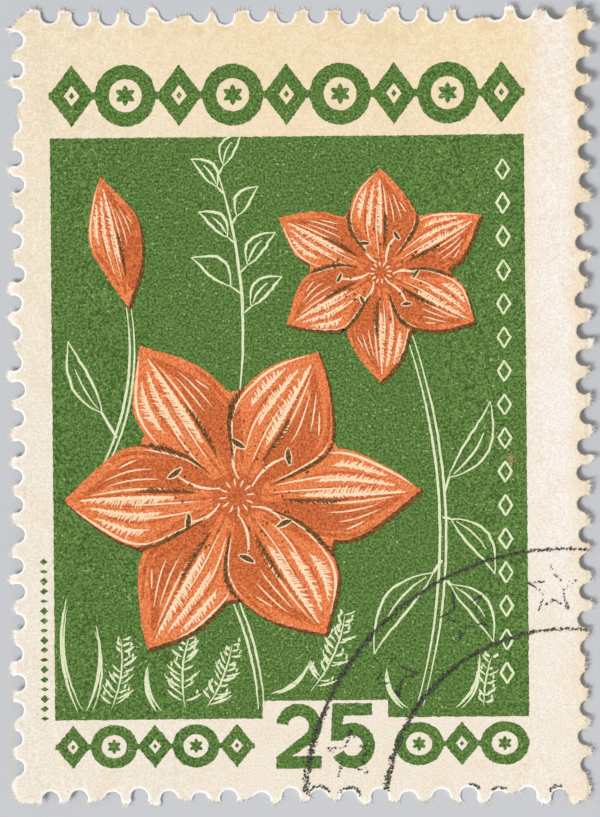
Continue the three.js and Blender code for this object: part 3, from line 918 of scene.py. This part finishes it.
def figure_two():
    left = TABLET_X - FIGURE_GAP / 2 - FIGURE_WIDTH
    right = left + FIGURE_WIDTH
    centre = (left + FIGURE_WIDTH / 2, FIGURE_Y + FIGURE_HEIGHT - FIGURE_WIDTH / 2)
    outline = [(left, FIGURE_Y), (right, FIGURE_Y), (right, FIGURE_Y + FIGURE_LINE)]
    outline.append((left + 1.25 * FIGURE_LINE, FIGURE_Y + FIGURE_LINE))
    outline += arc(centre, FIGURE_WIDTH / 2, *TWO_BOW)
    outline += arc(centre, FIGURE_WIDTH / 2 - FIGURE_LINE, *TWO_BOW[::-1])
    return [*outline, (left, FIGURE_Y + 0.9 * FIGURE_LINE)]


def figure_five():
    left, top = TABLET_X + FIGURE_GAP / 2, FIGURE_Y + FIGURE_HEIGHT
    centre = (left + FIGURE_WIDTH / 2, FIGURE_Y + FIGURE_WIDTH / 2)
    outline = [(left + 0.94 * FIGURE_WIDTH, top - FIGURE_LINE), (left + 0.94 * FIGURE_WIDTH, top)]
    outline += [(left + 0.25 * FIGURE_LINE, top), (left + 0.1 * FIGURE_LINE, FIGURE_Y + 1.3)]
    outline += arc(centre, FIGURE_WIDTH / 2 - FIGURE_LINE, *FIVE_INSIDE)
    outline += arc(centre, FIGURE_WIDTH / 2, *FIVE_OUTSIDE)
    return [*outline, (left + 1.15 * FIGURE_LINE, top - FIGURE_LINE)]


for digit, outline in [("2", figure_two()), ("5", figure_five())]:
    figure = printed("figure_" + digit, [rough(outline, chance)])
    hand_over(figure, green_ink, "numeral_" + digit)

side_marks = []
for i in range(SIDE_MARKS):
    y = lerp(SIDE_MARK_FOOT, SIDE_MARK_HEAD, i / (SIDE_MARKS - 1))
    mark = lozenge(SIDE_MARK_X, y, SIDE_MARK_HALF, SIDE_MARK_RISES[i % 3])
    side_marks.append(rough(mark, chance, 0.015, 0.1))
hand_over(printed("margin_marks", side_marks), green_ink)

# ---------------------------------------------------------------------------------------------------------
# The orange printing: the petals of two blooms and a bud, in a film of orange ink that meets the green at
# their edge. Bristly lights are left out of every petal, as if brushed away, and keep an orange tint.
orange_ink = ink_finish("orange_ink", srgb(214, 96, 42), srgb(250, 156, 98), srgb(252, 212, 164), 12)
lights_tint = ink_finish("lights_tint", srgb(250, 212, 168), srgb(255, 232, 200), srgb(255, 240, 216), 14)
# Bands of light and veins: their two ends along the petal, their place across it, and a band's width.
LIGHTS = [(0.34, 0.9, 0.04, 0.1), (0.42, 0.84, 0.36, 0.08), (0.5, 0.8, 0.66, 0.09)]
VEINS = [(0.2, 0.62, 0.2), (0.24, 0.56, 0.5), (0.4, 0.86, -0.14), (0.46, 0.76, -0.34)]
VEINS += [(0.52, 0.78, -0.54), (0.58, 0.7, -0.72)]
VEIN_SHIFT, BACK_VEINS = 0.08, 0.92  # how far veins start apart, and where they lie on a petal behind
BRISTLES_PER_MM = 7
LONG_STAMEN, SHORT_STAMEN, STAMEN_ROOT = 0.36, 0.3, 0.1  # shares of a petal's length
STAMEN_TURN, STAMEN_LEAN, HEAD_TURN = 31, 5, 62  # in degrees
HEART_RAYS, RAY_FROM, RAY_TO = 12, 0.05, 0.1


def along_petal(place, t0, t1, s0, s1, steps=10):
    return [place(lerp(t0, t1, i / steps), lerp(s0, s1, i / steps)) for i in range(steps + 1)]


def hatching(place, start, end, count, reach, lean, width, chance):
    """Short pointed strokes side by side, in a band that runs from one (t, s) of a petal to another."""
    for i in range(count):
        share = (i + next(chance)) / count
        t, s = lerp(start[0], end[0], share), lerp(start[1], end[1], share)
        long = reach * (0.55 + 0.9 * next(chance)) * (0.35 + 0.65 * math.sin(math.pi * share))
        path = along_petal(place, t - long / 2, t + long / 2, s - lean * long / 2, s + lean * long / 2, 5)
        yield stroke(path, width * (0.6 + 0.8 * next(chance)))


def bristles(place, t0, t1, s, reach, count, width, chance):
    """Short pointed strokes that stand close together on one side of a line along the petal."""
    for i in range(count):
        share = (i + 0.7 * next(chance)) / count
        t = lerp(t0, t1, share)
        long = reach * (0.45 + 0.75 * next(chance)) * (0.3 + 0.7 * math.sin(math.pi * share) ** 0.7)
        root = place(t, s - 0.1 * long)
        middle = place(t + 0.008, s + 0.45 * long)
        tip = place(t + 0.02, s + long)
        yield stroke([root, root.lerp(middle, 0.5), middle, middle.lerp(tip, 0.5), tip], width, 0.25)


def bare_lights(flower, index, chance):
    """What stays bare in one petal: bands of light with bristles, thin veins and a light on the rim."""
    place = petal_place(flower, index)
    size = flower.half / FLOWERS[0].half
    for t0, t1, s, wide in LIGHTS:
        yield rough(stroke(along_petal(place, t0, t1, s, s, 16), 0.75 * wide * flower.half), chance, 0.02)
        count = round(BRISTLES_PER_MM * (t1 - t0) * flower.petal)
        yield from bristles(place, t0 + 0.02, t1, s, 1.9 * wide, count, 0.085, chance)
        yield from bristles(place, t0 + 0.04, t1 - 0.04, s, -0.8 * wide, count // 2, 0.07, chance)
    yield rough(stroke(along_petal(place, 0.45, 0.95, 0.93, 0.88), 0.13 * size), chance, 0.012)
    for t0, t1, s in VEINS:
        start = t0 + VEIN_SHIFT * (next(chance) - 0.5)
        vein = along_petal(place, start, t1, s, s * 0.85)
        yield rough(stroke(vein, 0.06 * size + 0.03), chance, LINE_RAG)
    if index % 2:
        for side in (-BACK_VEINS, BACK_VEINS):
            vein = along_petal(place, 0.2, 0.56, side, side)
            yield rough(stroke(vein, 0.09 * size), chance, LINE_RAG)


def stamens(flower):
    """The thin stalks round a bloom's heart, each with the spot and heading of its head."""
    if flower.petals == 1:
        return
    heart, squash = Vector((flower.x, flower.y)), Vector((1, flower.squash))
    for k in range(flower.petals):
        angle = flower.turn + 60 * k + STAMEN_TURN + STAMEN_LEAN * (-1) ** k
        long = flower.petal * (SHORT_STAMEN if k % 2 else LONG_STAMEN)
        root, tip = unit(angle) * STAMEN_ROOT * flower.petal, unit(angle + STAMEN_LEAN) * long
        path = bowed(heart + root * squash, heart + tip * squash, 0.03 * flower.petal, 8)
        yield path, angle + HEAD_TURN


def stamen_head(flower, path, heading, share, width):
    """The spindle across the end of a stamen, whose length is twice this share of a petal."""
    half = unit(heading) * share * flower.petal
    return stroke(bowed(path[-1] - half, path[-1] + half, 0.03, 8), width, 0.3)


bare = {}
for flower in FLOWERS:
    chance = draws(23 + flower.petals + round(flower.petal))
    lights = [each for index in range(flower.petals) for each in bare_lights(flower, index, chance)]
    for path, heading in stamens(flower):
        head = stamen_head(flower, path, heading, 0.05, 0.03 * flower.petal + 0.12)
        lights += [rough(stroke(path, 0.14, 0.6), chance, 0.01), head]
    heart = Vector((flower.x, flower.y))
    for k in range(HEART_RAYS if flower.petals > 1 else 0):
        away = unit(flower.turn + 30 * k + 9) * flower.petal
        lights.append(stroke(bowed(heart + away * RAY_FROM, heart + away * RAY_TO, 0.02, 4), 0.09))
    bare[flower.name] = lights
    petals = printed(flower.name + "_petals_print", [flower_edges[flower.name]], lights)
    hand_over(petals, orange_ink, flower.name + "_petals")
    tint = printed(flower.name + "_lights_tint", lights, within=on_sheet([silhouette(flower)]))
    hand_over(tint, lights_tint)

# ---------------------------------------------------------------------------------------------------------
# The rust printing, a second film over the orange: it shades one side of every petal and the heart of a
# bloom, and its edges are drawn out in short strokes.
rust_ink = ink_finish("rust_ink", srgb(176, 76, 32), srgb(228, 126, 70), srgb(240, 164, 110), 22)
SHADE_ROOT, SHADE_REACH, SHADE_LOW, SHADE_HIGH = 0.13, 0.76, -0.82, -0.2
SHADE_INSET = -0.04  # the shading keeps this far inside the petals

# Bands of short strokes: from and to (along, across a petal), how many, how long, their lean and width.
SHADE_STROKES = [
    ((0.2, -0.2), (0.72, -0.3), 34, 0.16, 1.1, 0.11),
    ((0.6, -0.75), (0.86, -0.2), 26, 0.2, 0.2, 0.12),
    ((0.25, -0.84), (0.74, -0.86), 26, 0.14, -0.6, 0.1),
    ((0.16, 0.12), (0.4, 0.2), 16, 0.18, 0.3, 0.11),
    ((0.2, 0.55), (0.44, 0.86), 18, 0.14, 0.3, 0.1),
    ((0.3, 0.2), (0.72, 0.2), 12, 0.2, 0.1, 0.07),
    ((0.36, 0.52), (0.72, 0.5), 12, 0.18, 0.1, 0.07),
]


def shade_outline(flower, steps=16):
    """The shaded side of every petal, joined at the heart."""
    middle = (SHADE_LOW + SHADE_HIGH) / 2
    outline = []
    for index in range(flower.petals):
        place = petal_place(flower, index)
        start = SHADE_ROOT / (INNER_LENGTH if index % 2 else 1)
        rims = ([], [])
        for i in range(steps + 1):
            spread = math.sqrt(1 - (i / steps) ** 2) * (SHADE_HIGH - SHADE_LOW) / 2
            for rim, sign in zip(rims, (-1, 1)):
                rim.append(place(lerp(start, SHADE_REACH, i / steps), middle + sign * spread))
        outline += rims[0] + rims[1][-2::-1]
    return outline if flower.petals > 1 else outline[:-1]


def shade_strokes(flower, index, chance):
    """Strokes that draw the shading out: towards the tip, over the rib and along the lit side."""
    place = petal_place(flower, index)
    for band in SHADE_STROKES:
        yield from hatching(place, *band, chance)
    yield stroke(along_petal(place, 0.2, 0.95, -0.06, -0.03), 0.14)


for flower in FLOWERS:
    chance = draws(41 + flower.petals + round(flower.petal))
    areas = [rough(shade_outline(flower), chance)]
    for index in range(flower.petals):
        areas += shade_strokes(flower, index, chance)
    inside = on_sheet([silhouette(flower, SHADE_INSET)])
    shading = printed(flower.name + "_shading_print", areas, bare[flower.name], 1, inside)
    hand_over(shading, rust_ink, flower.name + "_shading")

# ---------------------------------------------------------------------------------------------------------
# The dark drawing: where the green is printed over the orange it turns to a dark olive. It gives the
# petals their contours, the comb of short strokes beside each rib, the heads of the stamens and freckles.
olive_ink = ink_finish("olive_overprint", srgb(62, 52, 22), srgb(142, 94, 46), srgb(206, 104, 54), 32)
FRECKLES, FRECKLE_SIZES = 9, (0.03, 0.06)
FRECKLED_ALONG, FRECKLED_ACROSS = (0.2, 0.42), (-0.5, 0.75)  # from and to, on each petal
LEE = (0.62, -0.78)  # the side of a flower on which the green overlaps it
LEE_OUTSIDE, LEE_INSIDE, OVERLAP_RAG = 0.11, 0.13, 0.05  # how far that line reaches and strays


def contours(flower, index, chance):
    """The rims of a petal that lies behind, each with a comb of strokes, and the rib of every petal."""
    place = petal_place(flower, index)
    if index % 2:
        root = VALLEY / INNER_LENGTH
        for side in (-1, 1):
            rim = along_petal(place, 0.17, root, side, side, 14)
            yield rough(stroke(rim, 0.15), chance, 0.02, 0.07)
            yield from hatching(place, (0.3, side * 0.98), (root, side), 14, 0.06, side * 2.4, 0.07, chance)
    yield rough(stroke(along_petal(place, 0.24, 0.6, -0.08, -0.07, 12), 0.1), chance, 0.02, 0.06)
    yield from hatching(place, (0.26, -0.11), (0.56, -0.1), 20, 0.035, -4, 0.06, chance)


def freckles(flower, chance):
    """Small dark dots strewn over the roots of a bloom's petals."""
    for index in range(flower.petals):
        place = petal_place(flower, index)
        for _ in range(FRECKLES if flower.petals > 1 else 0):
            spot = place(lerp(*FRECKLED_ALONG, next(chance)), lerp(*FRECKLED_ACROSS, next(chance)))
            size = lerp(*FRECKLE_SIZES, next(chance))
            yield ellipse(spot.x, spot.y, size, size * 1.3, 7)


def overlap(flower, chance):
    """The two edges of the dark line where green and orange overlap, which is broad on the lee side."""
    outline = rough(silhouette(flower), chance, 0.0, 0.12)
    outer, inner = [], []
    for before, spot, after in zip(outline[-1:] + outline, outline, outline[1:] + outline[:1]):
        normal = left_of(before - after).normalized()
        lee = max(0, normal.dot(Vector(LEE)))
        outer.append(spot + normal * (LEE_OUTSIDE * lee + OVERLAP_RAG * (next(chance) - 0.6)))
        inner.append(spot - normal * (LEE_INSIDE * lee + OVERLAP_RAG * (next(chance) - 0.6)))
    quarter = len(outline) // 4
    return outer[quarter:] + outer[:quarter], inner[quarter:] + inner[:quarter]


for flower in FLOWERS:
    chance = draws(59 + flower.petals + round(flower.petal))
    areas = [each for index in range(flower.petals) for each in contours(flower, index, chance)]
    areas += freckles(flower, chance)
    for path, heading in stamens(flower):
        head = stamen_head(flower, path, heading, 0.042, 0.026 * flower.petal)
        areas.append(rough(head, chance, 0.012, 0.07))
    hand_over(printed(flower.name + "_dark_drawing", areas, layer=2), olive_ink)
    outer, inner = overlap(flower, chance)
    hand_over(printed(flower.name + "_overlap_line", [outer], [inner], 2), olive_ink)

# ---------------------------------------------------------------------------------------------------------
# The postmark: two rings from a worn hand stamp that struck only this corner, in greyish black ink. It took
# well on the smooth green and poorly on the bare paper, where only grains of it stand.
POSTMARK_X, POSTMARK_Y, POSTMARK_LINE = 13.25, -4.6, 0.28
RINGS = [("postmark_outer_ring", 12.7, 80, 175.5), ("postmark_inner_ring", 8.8, 80, 174.5)]
RING_STEPS, RING_PART, GRAINS_PER_MM = 90, 3, 80
STAR_ANGLES, STAR_RADIUS, STAR_RING, STAR_NOTCH = (93, 117, 141, 165), 1.25, 10.75, 0.42
# Scraps of ink on the rims of five holes of the foot: the hole, and from and to which angle.
RIM_SCRAPS = [(9, 25, 165), (10, 20, 150), (14, 30, 95), (15, 60, 130), (17, 80, 150)]
SCRAP_GAP = 0.16
postmark_ink = ink_finish("postmark_ink", srgb(34, 38, 34), srgb(92, 94, 78), srgb(160, 156, 128), 42)


def grain_of_ink(spot, size, chance):
    """A small uneven hexagon."""
    corners = []
    for k in range(6):
        corners.append(spot + unit(60 * k + 40 * next(chance)) * size * (0.6 + 0.8 * next(chance)))
    return corners


def grainy_path(path, width, per_mm, chance, size=0.036):
    """Grains strewn along a path, thickest in its middle."""
    for start, end in pairwise(path):
        side = left_of(end - start).normalized()
        count = (end - start).length * per_mm
        for _ in range(int(count + next(chance))):
            off = (next(chance) + next(chance) - 1) * width / 2
            spot = start.lerp(end, next(chance)) + side * off
            yield grain_of_ink(spot, size * (0.5 + next(chance)), chance)


def on_green(spot):
    """Whether the ink falls on the smooth printed panel, where it takes well."""
    return abs(spot[0]) < PANEL_WIDTH / 2 and spot[1] > 0


def ring_marks(radius, start, end, chance):
    """A ring: a ragged line on the green, and grains that thin out towards its upper end."""
    path = arc((POSTMARK_X, POSTMARK_Y), radius, start, end, RING_STEPS)
    for i in range(0, RING_STEPS, RING_PART):
        piece = path[i : i + RING_PART + 1]
        width = POSTMARK_LINE * lerp(0.45, 1.05, i / RING_STEPS)
        if on_green(piece[0]) and next(chance) < 0.8:
            yield rough(stroke(piece, width * (0.3 + 0.4 * next(chance)), 0.7), chance, 0.025, 0.06)
        heavy = lerp(0.35, 1.0, min(1, i / 60)) * (0.5 + 0.8 * next(chance))
        yield from grainy_path(piece, width * 1.3, GRAINS_PER_MM * heavy, chance)


def star(angle, chance):
    """A small plain star between the rings, where such a stamp has its ornament."""
    centre = Vector((POSTMARK_X, POSTMARK_Y)) + unit(angle) * STAR_RING
    corners = []
    for k in range(11):
        corners.append(centre + unit(angle + 36 * k) * STAR_RADIUS * (STAR_NOTCH if k % 2 else 1))
    for first, second in pairwise(corners):
        side = bowed(first, second, 0.03, 4)
        for part in (side[:3], side[2:]):
            wear = max(0, next(chance) * 1.3 - 0.2)
            yield from grainy_path(part, 0.15, 26 * wear, chance, 0.032)
            if wear > 0.3 and on_green(part[0]):
                yield rough(stroke(part, 0.1 * wear, 0.6), chance, 0.02, 0.07)


for node, radius, start, end in RINGS:
    chance = draws(71 + round(radius))
    marks = list(ring_marks(radius, start, end, chance))
    ring = printed(node + "_print", marks, layer=3, within=[sheet_edge])
    hand_over(ring, postmark_ink, node)

chance = draws(83)
scraps = [each for angle in STAR_ANGLES for each in star(angle, chance)]
for hole, start, end in RIM_SCRAPS:
    x, y, radius = sheet_holes[hole]
    centre = Matrix.Rotation(-PRINT_TURN, 2) @ Vector((x, y)) - Vector((PANEL_MIDDLE, PANEL_FOOT))
    scraps += grainy_path(arc(centre, radius + SCRAP_GAP, start, end, 12), 0.2, 30, chance, 0.035)
stars = printed("postmark_stars", scraps, layer=3, within=[sheet_edge])
hand_over(stars, postmark_ink)

# ---------------------------------------------------------------------------------------------------------
# A fleck of rusty dirt that has stuck to the right side of the panel. It is a dried smear, worn down into
# a patch of separate crumbs.
FLECK_X, FLECK_Y, FLECK_SIZE, CRUMBS = 10.75, 12.5, 0.27, 60
LEAST_CRUMB, CRUMB_SPREAD = 0.022, 0.02
chance = draws(97)
crumbs = []
for _ in range(CRUMBS):
    spot = Vector((FLECK_X, FLECK_Y)) + unit(360 * next(chance)) * FLECK_SIZE * next(chance)
    crumbs.append(grain_of_ink(spot, LEAST_CRUMB + CRUMB_SPREAD * next(chance), chance))
rusty_dirt = ink_finish("rusty_dirt", srgb(136, 110, 74), srgb(192, 168, 128), srgb(206, 190, 150), 52)
hand_over(printed("dirt_fleck", crumbs, layer=1), rusty_dirt)

# ---------------------------------------------------------------------------------------------------------
# The surface under the stamp: a plain pale board with a matt, faintly clouded face, far wider than the
# stamp and just clear of its underside.
FLOOR_SIZE, FLOOR_DROP = 1.2, 0.00002


def floor_finish():
    finish = Finish("pale_surface", 0.9)
    cloud = finish.between(finish.grain(0.02, 3), 0.3, 0.7)
    finish.colour(finish.mix(cloud, srgb(198, 201, 205), srgb(203, 205, 208)))
    return finish.material


bpy.ops.object.select_all(action="DESELECT")
bpy.ops.mesh.primitive_plane_add(size=FLOOR_SIZE, location=(0, 0, -FLOOR_DROP))
surface = bpy.context.object
surface.name = "surface"
bpy.ops.object.transform_apply(location=True)
surface.data.materials.append(floor_finish())

# ---------------------------------------------------------------------------------------------------------
# Light and camera: a broad soft light from the lower left, an even pale surround, and a camera straight
# above that sees the whole stamp with a narrow rim of the surface round it.
SUN_FROM, SUN_SOFTNESS, SUN_STRENGTH, SURROUND = (-0.62, -0.42, 0.8), 20, 2.22, 0.485
CAMERA_HEIGHT, FACE_HEIGHT, VIEW_HEIGHT, CAMERA_ROLL = 0.35, 0.0002, 0.03966, -0.25
VIEW_CENTRE_X, VIEW_CENTRE_Y, SENSOR, NEAREST = -0.000033, -0.000107, 36, 0.01

bpy.ops.object.light_add(type="SUN", location=(-0.1, 0.1, 0.3))
sun = bpy.context.object
sun.name = "key_light"
sun.data.angle = math.radians(SUN_SOFTNESS)
sun.data.energy = SUN_STRENGTH
sun.rotation_euler = Vector(SUN_FROM).to_track_quat("Z", "Y").to_euler()
world = bpy.data.worlds.new("pale_surround")
world.use_nodes = True
surround = world.node_tree.nodes["Background"]
surround.inputs["Color"].default_value = (1, 1, 1, 1)
surround.inputs["Strength"].default_value = SURROUND
bpy.context.scene.world = world

roll = (0, 0, math.radians(CAMERA_ROLL))
bpy.ops.object.camera_add(location=(VIEW_CENTRE_X, VIEW_CENTRE_Y, CAMERA_HEIGHT), rotation=roll)
camera = bpy.context.object
camera.data.sensor_fit = "VERTICAL"
camera.data.sensor_height = SENSOR
camera.data.lens = SENSOR * (CAMERA_HEIGHT - FACE_HEIGHT) / VIEW_HEIGHT
camera.data.clip_start = NEAREST
bpy.context.scene.camera = camera
bpy.context.scene.view_settings.view_transform = "Standard"
